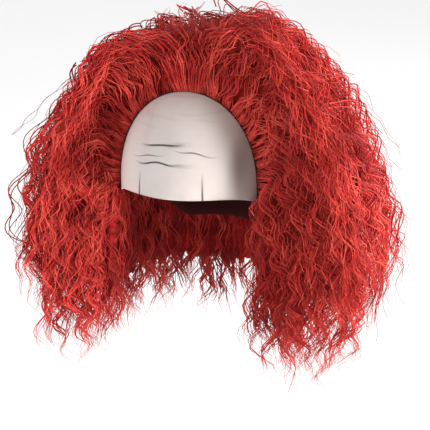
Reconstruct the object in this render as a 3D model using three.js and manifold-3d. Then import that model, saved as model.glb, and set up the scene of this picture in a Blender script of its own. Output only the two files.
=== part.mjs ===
// A clown wig with a bald front: a pale moulded forehead panel, a stretch cap over the rest
// of the head, a dark sewn tape along the hairline, and long crimped hair in six sections.
// Millimetres, +Z up. The wearer faces -Y, and the wearer's left is +X. The origin is the
// centre of the head opening, at the height of the front edge just above the brows.
import * as THREE from "three";
import { mergeVertices } from "three/addons/utils/BufferGeometryUtils.js";
import Module from "manifold-3d";

const wasm = await Module();
wasm.setup();

// The head that the cap is made for, measured on the inside of the cap
const headHalfWidth = 76.5;
const headHalfLength = 96.5;
const headHeight = 100; // front edge to the top of the head
const headDepth = 115; // how far below the origin the head's curve would close
const headFullness = 2.15; // 2 is a plain ellipsoid, more is squarer in side view

// The cap
const panelWall = 1.6; // moulded forehead panel
const capWall = 1.2; // stretch cap
const hairlineY = -40; // the panel ends and the hair begins here
const templeDrop = 13; // the front edge is this much lower at the temples
const earHeight = -22; // lower edge of the cap over the ears
const earY = 22;
const napeHeight = -70; // lower edge of the cap at the nape
const napeY = 66;
const tapeWidth = 7;
const tapeWall = 1.2;
const clearance = 0.3; // between pieces that touch on the real thing

// The hair, measured from the origin
const hairTop = 176;
const hairDrop = 222;
const hairReach = 207; // from the whorl's upright line to the widest hair
const rootSink = 4; // how far the hair starts inside the head before the head is cut out
const rootLift = 50; // the longest straight stretch of a strand from its root
const slotCount = 16; // equal slots round the head that the sections are made of
const firstAzimuth = 89; // degrees: 0 is the face, 90 the wearer's left, 180 the back
const lastAzimuth = 271;
const frontLean = 8; // degrees that the hair beside the face swings forward at its tips
const frontBow = 20; // how far that hair bows forward past its roots
const leanStart = 125; // azimuth where both begin on the left, and likewise on the right
const crownTilt = 5; // degrees from upright of the innermost roots
const templeTilt = 96; // the same for the lowest roots beside the face
const napeTilt = 116; // and for the lowest roots at the back
const archRise = 0.6; // how much higher a strand climbs past its straight root, of that length
const archLimit = 0.95; // highest point of a strand, as a share of its column's rise
const falls = 6; // points along a strand's fall
const sectionGap = 0.6; // between neighbouring sections
const ridgesPerSlot = 2;
const ridgeHeight = 4; // of each lock above the valleys beside it
const frontRidge = 8; // the same for the locks beside the face
const tipLength = 34; // of each lock's free pointed end
const tipScatter = 0.25; // uneven share of the tip's length
const strandSteps = 8; // facets along the hair

// Loose locks that lie on the outside of the hair
const looseSides = 4;
const looseSteps = 4;
const looseSink = 4; // how deep a loose lock starts in the hair below it
const tipStandOff = 16; // how far the tip of a loose lock stands off at most
const looseRoot = 0.1; // half its width at the root, as a share of the slot's width
const looseSway = 0.1; // sideways swing, as a share of the slot's width
const waveLength = 72;

// The tuft that stands up in the middle of the hairline
const tuftRise = 80; // above the top of the cap
const tuftHalfWidth = 13;
const tuftDepth = 20; // back from the tape
const tuftSpread = 13; // degrees that its sides lean outwards
const tuftLocks = 5;
const tuftLockRoot = 8; // half the width of a lock at its root
const tuftLockFull = 9;
const tuftSway = 4;
const tuftCurl = 10; // how far the locks lean forward before they curl back

// How far each column of hair reaches, rises and hangs, as shares of the sizes above
const columns = [
  { azimuth: 89, reach: 0.88, rise: 1.0, drop: 0.88 },
  { azimuth: 112, reach: 1.02, rise: 0.98, drop: 1.0 },
  { azimuth: 140, reach: 1.0, rise: 0.94, drop: 0.96 },
  { azimuth: 180, reach: 0.97, rise: 0.89, drop: 0.93 },
  { azimuth: 220, reach: 0.94, rise: 0.87, drop: 0.9 },
  { azimuth: 248, reach: 0.92, rise: 0.86, drop: 0.88 },
  { azimuth: 271, reach: 0.88, rise: 0.88, drop: 0.88 },
];

// The outer outline of the hair from the crown to the hem. Heights are shares of the column's
// rise and drop, and radii are shares of its reach.
const outline = [
  { height: 1.0, radius: 0.3 },
  { height: 0.9, radius: 0.48 },
  { height: 0.74, radius: 0.66 },
  { height: 0.42, radius: 0.84 },
  { height: 0.0, radius: 0.96 },
  { height: -0.36, radius: 1.03 },
  { height: -0.66, radius: 0.97 },
  { height: -1.0, radius: 0.86 },
];

// Hair by where it is rooted, as a share of the way from crown to rim. layer is the share of
// the way from head to outline, lift the share of rootLift, and end the share of the column's
// drop where the strand stops.
const strands = [
  { root: 0.0, layer: 0.95, lift: 1.0, end: 0.5 },
  { root: 0.3, layer: 0.84, lift: 0.88, end: 0.64 },
  { root: 0.6, layer: 0.56, lift: 0.72, end: 0.85 },
  { root: 0.85, layer: 0.28, lift: 0.52, end: 0.92 },
  { root: 1.0, layer: 0.06, lift: 0.28, end: 0.74 },
];

// Loose locks of each slot. start and end are shares of a strand, standOff is the share of
// tipStandOff, and middle and half are shares of the slot's width.
const loose = [
  { root: 0.02, start: 0.2, end: 0.7, standOff: 1.0, middle: 0.3, half: 0.2 },
  { root: 0.02, start: 0.5, end: 1.04, standOff: 0.6, middle: 0.7, half: 0.18 },
];

// Sections of the hair and the slots that each one takes, from the wearer's left round the
// back. rows is the number of facets from crown roots to rim roots.
const sections = [
  { name: "hair_left_front", from: 0, to: 3, rows: 10, colour: 0xb5231d },
  { name: "hair_left_side", from: 3, to: 6, rows: 6, colour: 0xa81f1a },
  { name: "hair_left_back", from: 6, to: 8, rows: 6, colour: 0x9c1c18 },
  { name: "hair_right_back", from: 8, to: 10, rows: 6, colour: 0x9c1c18 },
  { name: "hair_right_side", from: 10, to: 13, rows: 6, colour: 0xa81f1a },
  { name: "hair_right_front", from: 13, to: 16, rows: 10, colour: 0xb5231d },
];

const farAway = 600; // larger than the wig, for cutters
const thinnest = 0.8; // half the width left at the tip of a lock
const whorlY = hairlineY + tapeWidth / 2 + clearance; // the columns fan out from here
const radians = THREE.MathUtils.degToRad;

// A repeatable scatter from -1 to 1 for lock number n
function scatter(n) {
  const x = Math.sin(n * 12.9898 + 4.1414) * 43758.5453;
  return 2 * (x - Math.floor(x)) - 1;
}

// A closed three.js geometry as a solid
function solid(geometry) {
  const bare = geometry.index ? geometry.toNonIndexed() : geometry.clone();
  bare.deleteAttribute("normal");
  bare.deleteAttribute("uv");
  const merged = mergeVertices(bare, 1e-4);
  return new wasm.Manifold(
    new wasm.Mesh({
      numProp: 3,
      vertProperties: new Float32Array(merged.attributes.position.array),
      triVerts: new Uint32Array(merged.index.array),
    }),
  );
}

// A solid as a named mesh
function meshOf(name, shape, colour, roughness) {
  const made = shape.getMesh();
  const geometry = new THREE.BufferGeometry();
  geometry.setAttribute("position", new THREE.BufferAttribute(made.vertProperties, 3));
  geometry.setIndex(new THREE.BufferAttribute(made.triVerts, 1));
  geometry.computeVertexNormals();
  const material = new THREE.MeshStandardMaterial({ color: colour, roughness, metalness: 0 });
  const mesh = new THREE.Mesh(geometry, material);
  mesh.name = name;
  return mesh;
}

// The head's girth at height z, as a share of its girth at the origin, grown by a wall
function girth(z, wall) {
  const height = (z > 0 ? headHeight : headDepth) + wall;
  const share = Math.min(Math.abs(z) / height, 1);
  return Math.pow(1 - Math.pow(share, headFullness), 1 / headFullness);
}

// The whole head shape, grown by a wall
function headSolid(wall, around = 30, rings = 14) {
  const profile = [];
  for (let i = 0; i <= rings; i++) {
    const turn = Math.PI * (i / rings - 0.5);
    const side = Math.sin(turn);
    const height = (side > 0 ? headHeight : headDepth) + wall;
    const z = Math.sign(side) * height * Math.pow(Math.abs(side), 2 / headFullness);
    const onAxis = i === 0 || i === rings;
    profile.push(new THREE.Vector2(onAxis ? 0 : girth(z, wall), z));
  }
  const lathe = new THREE.LatheGeometry(profile, around);
  lathe.scale(headHalfWidth + wall, 1, headHalfLength + wall);
  return solid(lathe.rotateX(Math.PI / 2));
}

// A shell that follows the head, from one distance outside it to another
function headShell(inner, outer) {
  return headSolid(outer).subtract(headSolid(inner));
}

// A box given by its lowest and highest corners
function block(low, high) {
  const size = new THREE.Vector3().subVectors(high, low);
  const box = new THREE.BoxGeometry(size.x, size.y, size.z);
  const middle = low.clone().addScaledVector(size, 0.5);
  return solid(box.translate(middle.x, middle.y, middle.z));
}

// Everything between two upright planes across the head
function slab(yLow, yHigh) {
  const low = new THREE.Vector3(-farAway, yLow, -farAway);
  return block(low, new THREE.Vector3(farAway, yHigh, farAway));
}

// Everything above the cap's lower edge: over the brow, the ears and the nape
function aboveRim(lift = 0) {
  const side = new THREE.Shape();
  const browY = -headHalfLength;
  side.moveTo(-farAway, lift);
  side.lineTo(browY, lift);
  side.quadraticCurveTo((browY + hairlineY) / 2, lift, hairlineY, lift - templeDrop);
  side.quadraticCurveTo((hairlineY + earY) / 2, lift + earHeight, earY, lift + earHeight);
  side.quadraticCurveTo((earY + napeY) / 2, lift + earHeight, napeY, lift + napeHeight);
  side.lineTo(farAway, lift + napeHeight);
  side.lineTo(farAway, farAway);
  side.lineTo(-farAway, farAway);
  side.closePath();
  const sheet = new THREE.ExtrudeGeometry(side, {
    depth: 2 * farAway,
    bevelEnabled: false,
    curveSegments: 6,
  });
  sheet.translate(0, 0, -farAway);
  // The shape's x becomes y, its y becomes z, and its depth becomes x
  const turn = new THREE.Matrix4().makeBasis(
    new THREE.Vector3(0, 1, 0),
    new THREE.Vector3(0, 0, 1),
    new THREE.Vector3(1, 0, 0),
  );
  return solid(sheet.applyMatrix4(turn));
}

// The unit vector away from the whorl at an azimuth in degrees
function heading(azimuth) {
  return new THREE.Vector3(Math.sin(radians(azimuth)), -Math.cos(radians(azimuth)), 0);
}

// The sum of the powered shares: under 1 inside the head, over 1 outside it
function headSide(point, wall) {
  const flat = Math.hypot(point.x / (headHalfWidth + wall), point.y / (headHalfLength + wall));
  const height = (point.z > 0 ? headHeight : headDepth) + wall;
  return Math.pow(flat, headFullness) + Math.pow(Math.abs(point.z) / height, headFullness);
}

// Where a ray from the whorl's line, at a tilt from upright, leaves the head
function onHead(azimuth, tilt, wall) {
  const start = new THREE.Vector3(0, whorlY, 0);
  const ray = heading(azimuth).multiplyScalar(Math.sin(radians(tilt)));
  ray.z = Math.cos(radians(tilt));
  let near = 0;
  let far = 2 * headHalfLength;
  for (let i = 0; i < 40; i++) {
    const middle = (near + far) / 2;
    if (headSide(start.clone().addScaledVector(ray, middle), wall) < 1) near = middle;
    else far = middle;
  }
  return start.addScaledVector(ray, near);
}

// A value between the rows of a table, by a column that rises or falls all the way
function between(table, key, at, value) {
  const rising = table[0][key] < table[table.length - 1][key];
  const rows = rising ? table : [...table].reverse();
  if (at <= rows[0][key]) return rows[0][value];
  for (let i = 1; i < rows.length; i++) {
    if (at > rows[i][key]) continue;
    const share = (at - rows[i - 1][key]) / (rows[i][key] - rows[i - 1][key]);
    return THREE.MathUtils.lerp(rows[i - 1][value], rows[i][value], share);
  }
  return rows[rows.length - 1][value];
}

// Distance from the whorl's line of a hair layer at height z: 0 is on the head, 1 the outline
function layerRadius(azimuth, layer, z) {
  const reach = hairReach * between(columns, "azimuth", azimuth, "reach");
  const top = hairTop * between(columns, "azimuth", azimuth, "rise");
  const drop = hairDrop * between(columns, "azimuth", azimuth, "drop");
  const outer = reach * between(outline, "height", z > 0 ? z / top : z / drop, "radius");
  const tilt = z > 0 ? THREE.MathUtils.radToDeg(Math.atan2(reach / 3, z)) : 90;
  const head = onHead(azimuth, tilt, capWall);
  const inner = Math.hypot(head.x, head.y - whorlY);
  return THREE.MathUtils.lerp(Math.min(inner, outer), outer, layer);
}

// The middle line of a strand: out of the cap, over, and down along its layer to its tip.
// root is 0 at the crown and 1 at the rim.
function strandPath(azimuth, root) {
  const fromBack = Math.abs(azimuth - 180);
  const rimTilt = THREE.MathUtils.mapLinear(fromBack, 90, 0, templeTilt, napeTilt);
  const tilt = THREE.MathUtils.lerp(crownTilt, rimTilt, root);
  const lift = rootLift * between(strands, "root", root, "lift");
  const layer = between(strands, "root", root, "layer");
  const end = between(strands, "root", root, "end");
  const top = hairTop * between(columns, "azimuth", azimuth, "rise");
  const drop = hairDrop * between(columns, "azimuth", azimuth, "drop");
  const away = heading(azimuth);
  const out = away.clone().multiplyScalar(Math.sin(radians(tilt)));
  out.z = Math.cos(radians(tilt));
  const foot = onHead(azimuth, tilt, capWall + clearance);
  const start = foot.clone().addScaledVector(out, -rootSink);
  const lifted = foot.clone().addScaledVector(out, lift);
  const points = [start, foot, lifted];
  const highest = Math.min(lifted.z + lift * archRise * out.z, top * archLimit);
  for (let i = 0; i < falls; i++) {
    const z = THREE.MathUtils.lerp(highest, -drop * end, i / (falls - 1));
    const radius = layerRadius(azimuth, layer, z);
    points.push(new THREE.Vector3(away.x * radius, whorlY + away.y * radius, z));
  }
  return new THREE.CatmullRomCurve3(points, false, "centripetal");
}

// How much of the forward swing and bow the hair at an azimuth gets: 1 beside the face
function faceShare(azimuth) {
  const fromBack = Math.abs(azimuth - 180);
  const start = 180 - leanStart;
  const share = (fromBack - start) / (180 - firstAzimuth - start);
  return Math.pow(THREE.MathUtils.clamp(share, 0, 1), 2);
}

// A point of a strand brought forward beside the face: turned round the whorl's line, most at
// the tip, and bowed out from the hairline, mostly near the root
function broughtForward(point, azimuth, share) {
  const face = faceShare(azimuth);
  const axis = new THREE.Vector3(0, whorlY, 0);
  const angle = Math.sign(azimuth - 180) * frontLean * face * share * (2 - share);
  point.sub(axis).applyAxisAngle(new THREE.Vector3(0, 0, 1), radians(angle)).add(axis);
  point.y -= frontBow * face * (1 - Math.pow(1 - share, 3));
  return point;
}

// A tapered lock: a closed cylinder bent along a curve, wide across and thinner outwards
function lock(curve, across, row, widthAt, swayAt, number) {
  const tube = new THREE.CylinderGeometry(1, 1, 1, row.sides, row.steps);
  const length = curve.getLength();
  const phase = Math.PI * scatter(number + 0.5);
  const place = tube.attributes.position;
  for (let i = 0; i < place.count; i++) {
    const share = THREE.MathUtils.clamp(place.getY(i) + 0.5, 0, 1);
    const along = curve.getTangentAt(share);
    const out = new THREE.Vector3().crossVectors(across, along).normalize();
    const side = new THREE.Vector3().crossVectors(along, out).normalize();
    const sway = swayAt(share);
    const turn = (2 * Math.PI * share * length) / waveLength + phase;
    const half = widthAt(share);
    const point = curve.getPointAt(share);
    point.addScaledVector(side, half * place.getX(i) + sway * Math.sin(turn));
    point.addScaledVector(out, half * row.depth * place.getZ(i) + 0.6 * sway * Math.cos(turn));
    place.setXYZ(i, point.x, point.y, point.z);
  }
  return solid(tube);
}

// Half the width of a lock along its length: slim at the root, full, then tapered to its tip
function taper(share, rootHalf, fullHalf) {
  const grown = THREE.MathUtils.smoothstep(share, 0, 0.45);
  const closing = 1 - THREE.MathUtils.smoothstep(share, 0.62, 1.04);
  return THREE.MathUtils.lerp(rootHalf, fullHalf, grown) * closing;
}

// The prism that the standing tuft keeps to, grown by a gap
function tuftRoom(gap) {
  const lean = Math.tan(radians(tuftSpread));
  const half = tuftHalfWidth + gap;
  const face = new THREE.Shape();
  face.moveTo(-half, 0);
  face.lineTo(half, 0);
  face.lineTo(half, headHeight);
  face.lineTo(half + lean * farAway, headHeight + farAway);
  face.lineTo(-half - lean * farAway, headHeight + farAway);
  face.lineTo(-half, headHeight);
  face.closePath();
  const back = whorlY + tuftDepth + gap;
  const prism = new THREE.ExtrudeGeometry(face, { depth: farAway, bevelEnabled: false });
  prism.rotateX(Math.PI / 2);
  return solid(prism.translate(0, back, 0));
}

// The space that hair keeps out of: the cap, and in front the panel and the tape over it
function headRoom() {
  const overTape = panelWall + tapeWall + 2 * clearance;
  const front = headSolid(overTape).intersect(slab(-farAway, whorlY));
  return headSolid(capWall + clearance).add(front);
}

// The largest single body of a shape
function mainBody(shape) {
  const bodies = shape.decompose();
  bodies.sort((a, b) => b.volume() - a.volume());
  return bodies[0];
}

// The mass of a section: a subdivided box whose x runs round the head, whose y runs from the
// rim's roots up to the crown's, and whose z runs from the roots to the tips
function hairMass(section, from, to) {
  const across = 2 * ridgesPerSlot * (section.to - section.from);
  const box = new THREE.BoxGeometry(1, 1, 1, across, section.rows, strandSteps);
  const place = box.attributes.position;
  const curves = new Map();
  for (let i = 0; i < place.count; i++) {
    const column = Math.round((place.getX(i) + 0.5) * across);
    const row = Math.round((0.5 - place.getY(i)) * section.rows);
    const step = Math.round((place.getZ(i) + 0.5) * strandSteps);
    const azimuth = THREE.MathUtils.lerp(from, to, column / across);
    const key = `${column} ${row}`;
    if (!curves.has(key)) curves.set(key, strandPath(azimuth, row / section.rows));
    const curve = curves.get(key);
    const share = step / strandSteps;
    const away = heading(azimuth);
    const side = new THREE.Vector3(0, 0, 1).cross(away);
    const along = curve.getTangentAt(share);
    const out = new THREE.Vector3().crossVectors(along, side).normalize();
    const point = curve.getPointAt(share);
    const raised = (column + row) % 2 === 1;
    const grown = Math.min(1, 3 * share);
    if (row === 0 && !raised) point.addScaledVector(out, -ridgeHeight * grown);
    if (step === strandSteps) {
      const reach = raised ? 0.5 : -0.5;
      const number = 97 * section.from + 13 * column + row;
      point.addScaledVector(along, tipLength * (reach + tipScatter * scatter(number)));
    }
    const valley = raised ? 0 : frontRidge * grown;
    const first = section.from === 0 ? valley : sectionGap / 2;
    const last = section.to === slotCount ? valley : sectionGap / 2;
    if (column === 0) point.addScaledVector(side, first);
    if (column === across) point.addScaledVector(side, -last);
    broughtForward(point, azimuth, share);
    place.setXYZ(i, point.x, point.y, point.z);
  }
  return solid(box);
}

// The part of a strand's line between two shares of its length, its tip standing off
function looseLine(azimuth, row) {
  const curve = strandPath(azimuth, row.root);
  const away = heading(azimuth);
  const points = [];
  for (let i = 0; i <= looseSteps; i++) {
    const share = THREE.MathUtils.lerp(row.start, row.end, i / looseSteps);
    const point = curve.getPointAt(Math.min(share, 1));
    const past = Math.max(share - 1, 0) * curve.getLength();
    point.addScaledVector(curve.getTangentAt(Math.min(share, 1)), past);
    const tipOff = row.standOff * tipStandOff;
    const standOff = THREE.MathUtils.lerp(-looseSink, tipOff, i / looseSteps);
    point.addScaledVector(away, standOff);
    points.push(broughtForward(point, azimuth, share));
  }
  return new THREE.CatmullRomCurve3(points, false, "centripetal");
}

// One section of hair: its mass and its loose locks, fused
function hairSection(section) {
  const pitch = (lastAzimuth - firstAzimuth) / slotCount;
  const from = firstAzimuth + pitch * section.from;
  const to = firstAzimuth + pitch * section.to;
  const parts = [hairMass(section, from, to)];
  for (let slot = section.from; slot < section.to; slot++) {
    loose.forEach((row, index) => {
      const number = slot * loose.length + index;
      const azimuth = firstAzimuth + pitch * (slot + row.middle);
      const across = new THREE.Vector3(0, 0, 1).cross(heading(azimuth));
      const shape = { sides: looseSides, steps: looseSteps, depth: 0.7 };
      const line = looseLine(azimuth, row);
      const slotWidth = (share) => {
        const point = line.getPointAt(share);
        return radians(pitch) * Math.hypot(point.x, point.y - whorlY);
      };
      const widthAt = (share) => slotWidth(share) * taper(share, looseRoot, row.half) + thinnest;
      const swayAt = (share) => slotWidth(share) * looseSway * share;
      parts.push(lock(line, across, shape, widthAt, swayAt, number));
    });
  }
  const hair = wasm.Manifold.union(parts).subtract(headRoom());
  return mainBody(hair.subtract(tuftRoom(sectionGap)));
}

// The tuft at the middle of the hairline: locks that stand up and curl over at the top
function hairTuft() {
  const low = capWall + clearance;
  const lean = Math.tan(radians(tuftSpread));
  const locks = [];
  for (let i = 0; i < tuftLocks; i++) {
    const share = (2 * i) / (tuftLocks - 1) - 1;
    const x = share * tuftHalfWidth * 0.7;
    const rise = tuftRise * (1 - 0.12 * share * share + 0.05 * scatter(i));
    const foot = onHead(90, 1, low).z;
    const y = whorlY + tuftDepth * (i % 2 === 0 ? 0.3 : 0.75);
    const curve = new THREE.CatmullRomCurve3([
      new THREE.Vector3(x, y, foot - rootSink),
      new THREE.Vector3(x, y - tuftCurl * 0.2, foot + rise * 0.25),
      new THREE.Vector3(x + share * lean * rise * 0.5, y - tuftCurl * 0.8, foot + rise * 0.6),
      new THREE.Vector3(x + share * lean * rise * 0.8, y - tuftCurl, foot + rise * 0.9),
      new THREE.Vector3(x + share * lean * rise, y - tuftCurl * 0.4, foot + rise),
    ]);
    const row = { sides: 4, steps: 5, depth: 0.9 };
    const widthAt = (at) => taper(at, tuftLockRoot, tuftLockFull) + thinnest;
    const swayAt = (at) => tuftSway * at;
    locks.push(lock(curve, new THREE.Vector3(1, 0, 0), row, widthAt, swayAt, 90 + i));
  }
  const hair = wasm.Manifold.union(locks).subtract(headRoom());
  return mainBody(hair.intersect(tuftRoom(0)));
}

// The pale forehead panel, from the front edge to the hairline
function foreheadPanel() {
  const shell = headShell(0, panelWall);
  return shell.intersect(slab(-farAway, hairlineY)).intersect(aboveRim());
}

// The stretch cap over the rest of the head, down to the ears and the nape
function stretchCap() {
  const shell = headShell(0, capWall);
  return shell.intersect(slab(hairlineY + clearance, farAway)).intersect(aboveRim());
}

// The dark tape over the seam between the panel and the cap
function hairlineTape() {
  const low = panelWall + clearance;
  const shell = headShell(low, low + tapeWall);
  const strip = slab(hairlineY - tapeWidth / 2, hairlineY + tapeWidth / 2);
  return shell.intersect(strip).intersect(aboveRim());
}

const wig = new THREE.Group();
wig.add(meshOf("forehead_panel", foreheadPanel(), 0xe2d9cf, 0.55));
wig.add(meshOf("stretch_cap", stretchCap(), 0x3a1512, 0.9));
wig.add(meshOf("hairline_tape", hairlineTape(), 0x241010, 0.9));
wig.add(meshOf("hair_tuft", hairTuft(), 0xc22a21, 0.6));
for (const section of sections) {
  wig.add(meshOf(section.name, hairSection(section), section.colour, 0.6));
}

export default wig;
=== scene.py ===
# Clown wig: bald forehead panel, stretch cap, hairline tape and long crimped hair
import math

import bmesh
import bpy
import numpy as np
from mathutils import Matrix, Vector


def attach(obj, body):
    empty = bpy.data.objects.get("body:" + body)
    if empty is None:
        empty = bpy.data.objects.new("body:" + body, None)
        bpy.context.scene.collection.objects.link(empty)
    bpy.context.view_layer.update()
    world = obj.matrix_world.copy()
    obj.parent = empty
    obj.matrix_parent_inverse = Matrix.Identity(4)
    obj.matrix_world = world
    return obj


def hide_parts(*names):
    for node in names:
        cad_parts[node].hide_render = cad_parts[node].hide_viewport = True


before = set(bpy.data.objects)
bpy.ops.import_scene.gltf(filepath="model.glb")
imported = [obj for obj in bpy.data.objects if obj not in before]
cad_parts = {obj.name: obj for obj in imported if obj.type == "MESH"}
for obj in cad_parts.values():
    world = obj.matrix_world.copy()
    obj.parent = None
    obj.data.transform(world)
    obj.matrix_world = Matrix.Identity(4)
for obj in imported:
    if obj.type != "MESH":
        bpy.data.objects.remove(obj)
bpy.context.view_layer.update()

# camera, lights and floor
photoView = {
    "azimuth": 18.0,  # degrees, towards the wearer's left
    "elevation": 18.0,
    "distance": 2.0,
    "frame": 0.430,  # metres across the picture at the head
    "right": 0.013,  # middle of the picture from the origin
    "up": -0.043,
}

studio = {
    "floorHeight": -0.50,
    "floorHalf": 60.0,
    "floorColour": (0.93, 0.93, 0.93, 1),
    "worldColour": (1, 1, 1, 1),
    "worldStrength": 0.93,
    # name: place, target, size, watts
    "lights": {
        "keyLight": ((-1.6, -1.8, 0.4), (0, 0, 0), 1.2, 16),
        "sideLight": ((2.2, -0.38, -0.2), (0.1, 0, -0.14), 0.9, 121),
        "topLight": ((0.1, 0.0, 2.2), (0, 0, 0), 1.4, 1),
        "backLight": ((0.8, 2.2, 0.8), (0, 0, 0.05), 1.2, 10),
    },
}


def lookAlong(thing, place, target):
    thing.location = place
    thing.rotation_euler = (Vector(target) - Vector(place)).to_track_quat("-Z", "Y").to_euler()
    bpy.context.scene.collection.objects.link(thing)


def makeCamera(values):
    a, e = math.radians(values["azimuth"]), math.radians(values["elevation"])
    back = Vector((math.sin(a) * math.cos(e), -math.cos(a) * math.cos(e), math.sin(e)))
    right = Vector((math.cos(a), math.sin(a), 0))
    target = right * values["right"] + back.cross(right) * values["up"]
    camera = bpy.data.objects.new("camera", bpy.data.cameras.new("camera"))
    camera.data.angle = 2 * math.atan(values["frame"] / 2 / values["distance"])
    lookAlong(camera, target + back * values["distance"], target)
    bpy.context.scene.camera = camera


def makeStudio(values):
    world = bpy.data.worlds.new("studio")
    world.use_nodes = True
    sky = world.node_tree.nodes["Background"]
    sky.inputs["Color"].default_value = values["worldColour"]
    sky.inputs["Strength"].default_value = values["worldStrength"]
    bpy.context.scene.world = world
    bpy.context.scene.view_settings.view_transform = "Standard"
    for name, (place, target, size, watts) in values["lights"].items():
        light = bpy.data.lights.new(name, "AREA")
        light.shape = "DISK"
        light.size = size
        light.energy = watts
        lookAlong(bpy.data.objects.new(name, light), place, target)
    half = values["floorHalf"]
    edge = np.array([-half, half])
    grid = np.stack(np.broadcast_arrays(edge[:, None], edge[None, :], values["floorHeight"]), axis=-1)
    floor = meshFrom("studioFloor", *gridFaces(grid))
    floor.data.materials.append(plainMaterial("palePaper", values["floorColour"], 0.8))


# meshes from arrays of points
def meshFrom(name, points, quads, uv=None, triangles=None):
    # points (n, 3), quads (m, 4) and triangles (k, 3) into a mesh, with one uv for each corner
    mesh = bpy.data.meshes.new(name)
    quads = np.asarray(quads, dtype=np.int32).reshape(-1, 4)
    triangles = np.zeros((0, 3), dtype=np.int32) if triangles is None else triangles
    corners = np.concatenate([quads.ravel(), triangles.ravel()]).astype(np.int32)
    sizes = np.concatenate([np.full(len(quads), 4), np.full(len(triangles), 3)])
    starts = np.concatenate([[0], np.cumsum(sizes)[:-1]])
    mesh.vertices.add(len(points))
    mesh.vertices.foreach_set("co", np.asarray(points, dtype=np.float32).ravel())
    mesh.loops.add(len(corners))
    mesh.loops.foreach_set("vertex_index", corners)
    mesh.polygons.add(len(sizes))
    mesh.polygons.foreach_set("loop_start", starts.astype(np.int32))
    mesh.polygons.foreach_set("use_smooth", np.ones(len(sizes), dtype=bool))
    if uv is not None:
        layer = mesh.uv_layers.new(name="strandMap")
        layer.data.foreach_set("uv", np.asarray(uv, dtype=np.float32)[corners].ravel())
    mesh.update(calc_edges=True)
    made = bpy.data.objects.new(name, mesh)
    bpy.context.scene.collection.objects.link(made)
    return made


def gridFaces(grid, flip=False):
    # the quads between neighbouring rows and columns of a grid of points
    rows, columns = grid.shape[:2]
    number = np.arange(rows * columns).reshape(rows, columns)
    quads = np.stack([number[:-1, :-1], number[1:, :-1], number[1:, 1:], number[:-1, 1:]], axis=-1)
    if flip:
        quads = quads[..., ::-1]
    return grid.reshape(-1, 3), quads.reshape(-1, 4)


def shellFaces(outer, inner):
    # an outer and an inner grid of one shape, joined along their four edges into a closed wall
    points, quads = gridFaces(outer)
    under, underQuads = gridFaces(inner, flip=True)
    count = len(points)
    rows, columns = outer.shape[:2]
    number = np.arange(rows * columns).reshape(rows, columns)
    rim = np.concatenate([number[0, :-1], number[:-1, -1], number[-1, :0:-1], number[:0:-1, 0]])
    after = np.roll(rim, -1)
    edge = np.stack([rim, after, after + count, rim + count], axis=-1)
    return np.concatenate([points, under]), np.concatenate([quads, underQuads + count, edge])


def welded(thing, distance=1e-6):
    # doubles merged and normals turned outwards
    work = bmesh.new()
    work.from_mesh(thing.data)
    bmesh.ops.remove_doubles(work, verts=work.verts, dist=distance)
    bmesh.ops.dissolve_degenerate(work, edges=work.edges, dist=distance)
    bmesh.ops.recalc_face_normals(work, faces=work.faces)
    work.to_mesh(thing.data)
    work.free()
    thing.data.polygons.foreach_set("use_smooth", np.ones(len(thing.data.polygons), dtype=bool))
    return thing


# materials of hair, and the relief and painted lines of the panel
def plugged(tree, node, inputs):
    # plain values and links into a node's inputs
    for socket, value in inputs.items():
        if isinstance(value, bpy.types.NodeSocket):
            tree.links.new(value, node.inputs[socket])
        else:
            node.inputs[socket].default_value = value
    return node


def linked(tree, kind, inputs=(), **settings):
    # a new node with its settings, its plain input values and its links
    node = tree.nodes.new(kind)
    for key, value in settings.items():
        setattr(node, key, value)
    return plugged(tree, node, dict(inputs))


def math2(tree, operation, a, b=0.0, clamp=False):
    node = linked(tree, "ShaderNodeMath", {0: a, 1: b}, operation=operation, use_clamp=clamp)
    return node.outputs[0]


def plus(tree, a, b, clamp=False):
    return math2(tree, "ADD", a, b, clamp)


def minus(tree, a, b, clamp=False):
    return math2(tree, "SUBTRACT", a, b, clamp)


def times(tree, a, b, clamp=False):
    return math2(tree, "MULTIPLY", a, b, clamp)


def ramp(tree, value, start, slope, clamp=False):
    # slope * (value - start)
    return times(tree, minus(tree, value, start), slope, clamp)


def objectPlace(tree):
    return linked(tree, "ShaderNodeTexCoord").outputs["Object"]


def noise(tree, where, scale, detail):
    inputs = {"Vector": where, "Scale": scale, "Detail": detail}
    return linked(tree, "ShaderNodeTexNoise", inputs).outputs["Fac"]


def bumped(tree, height, strength, distance):
    inputs = {"Height": height, "Strength": strength, "Distance": distance}
    return linked(tree, "ShaderNodeBump", inputs).outputs[0]


def mixColour(tree, factor, a, b):
    return linked(tree, "ShaderNodeMix", {0: factor, 6: a, 7: b}, data_type="RGBA").outputs[2]


def newMaterial(name):
    material = bpy.data.materials.new(name)
    material.use_nodes = True
    tree = material.node_tree
    return material, tree, tree.nodes["Principled BSDF"]


def plainMaterial(name, colour, roughness):
    material, tree, shader = newMaterial(name)
    plugged(tree, shader, {"Base Color": colour, "Roughness": roughness})
    return material


def newGroup(name, inputs):
    # a node group with an input for each label: its number, or None for a colour
    group = bpy.data.node_groups.new(name, "ShaderNodeTree")
    for label, value in inputs.items():
        kind = "NodeSocketColor" if value is None else "NodeSocketFloat"
        socket = group.interface.new_socket(name=label, in_out="INPUT", socket_type=kind)
        if value is not None:
            socket.default_value = value
    return group, group.nodes.new("NodeGroupInput").outputs


def withOutputs(group, **results):
    for label in results:
        kind = "NodeSocketColor" if label == "Color" else "NodeSocketFloat"
        group.interface.new_socket(name=label, in_out="OUTPUT", socket_type=kind)
    plugged(group, group.nodes.new("NodeGroupOutput"), results)
    return group


def placed(tree, group, **values):
    return linked(tree, "ShaderNodeGroup", values, node_tree=group).outputs


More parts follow.
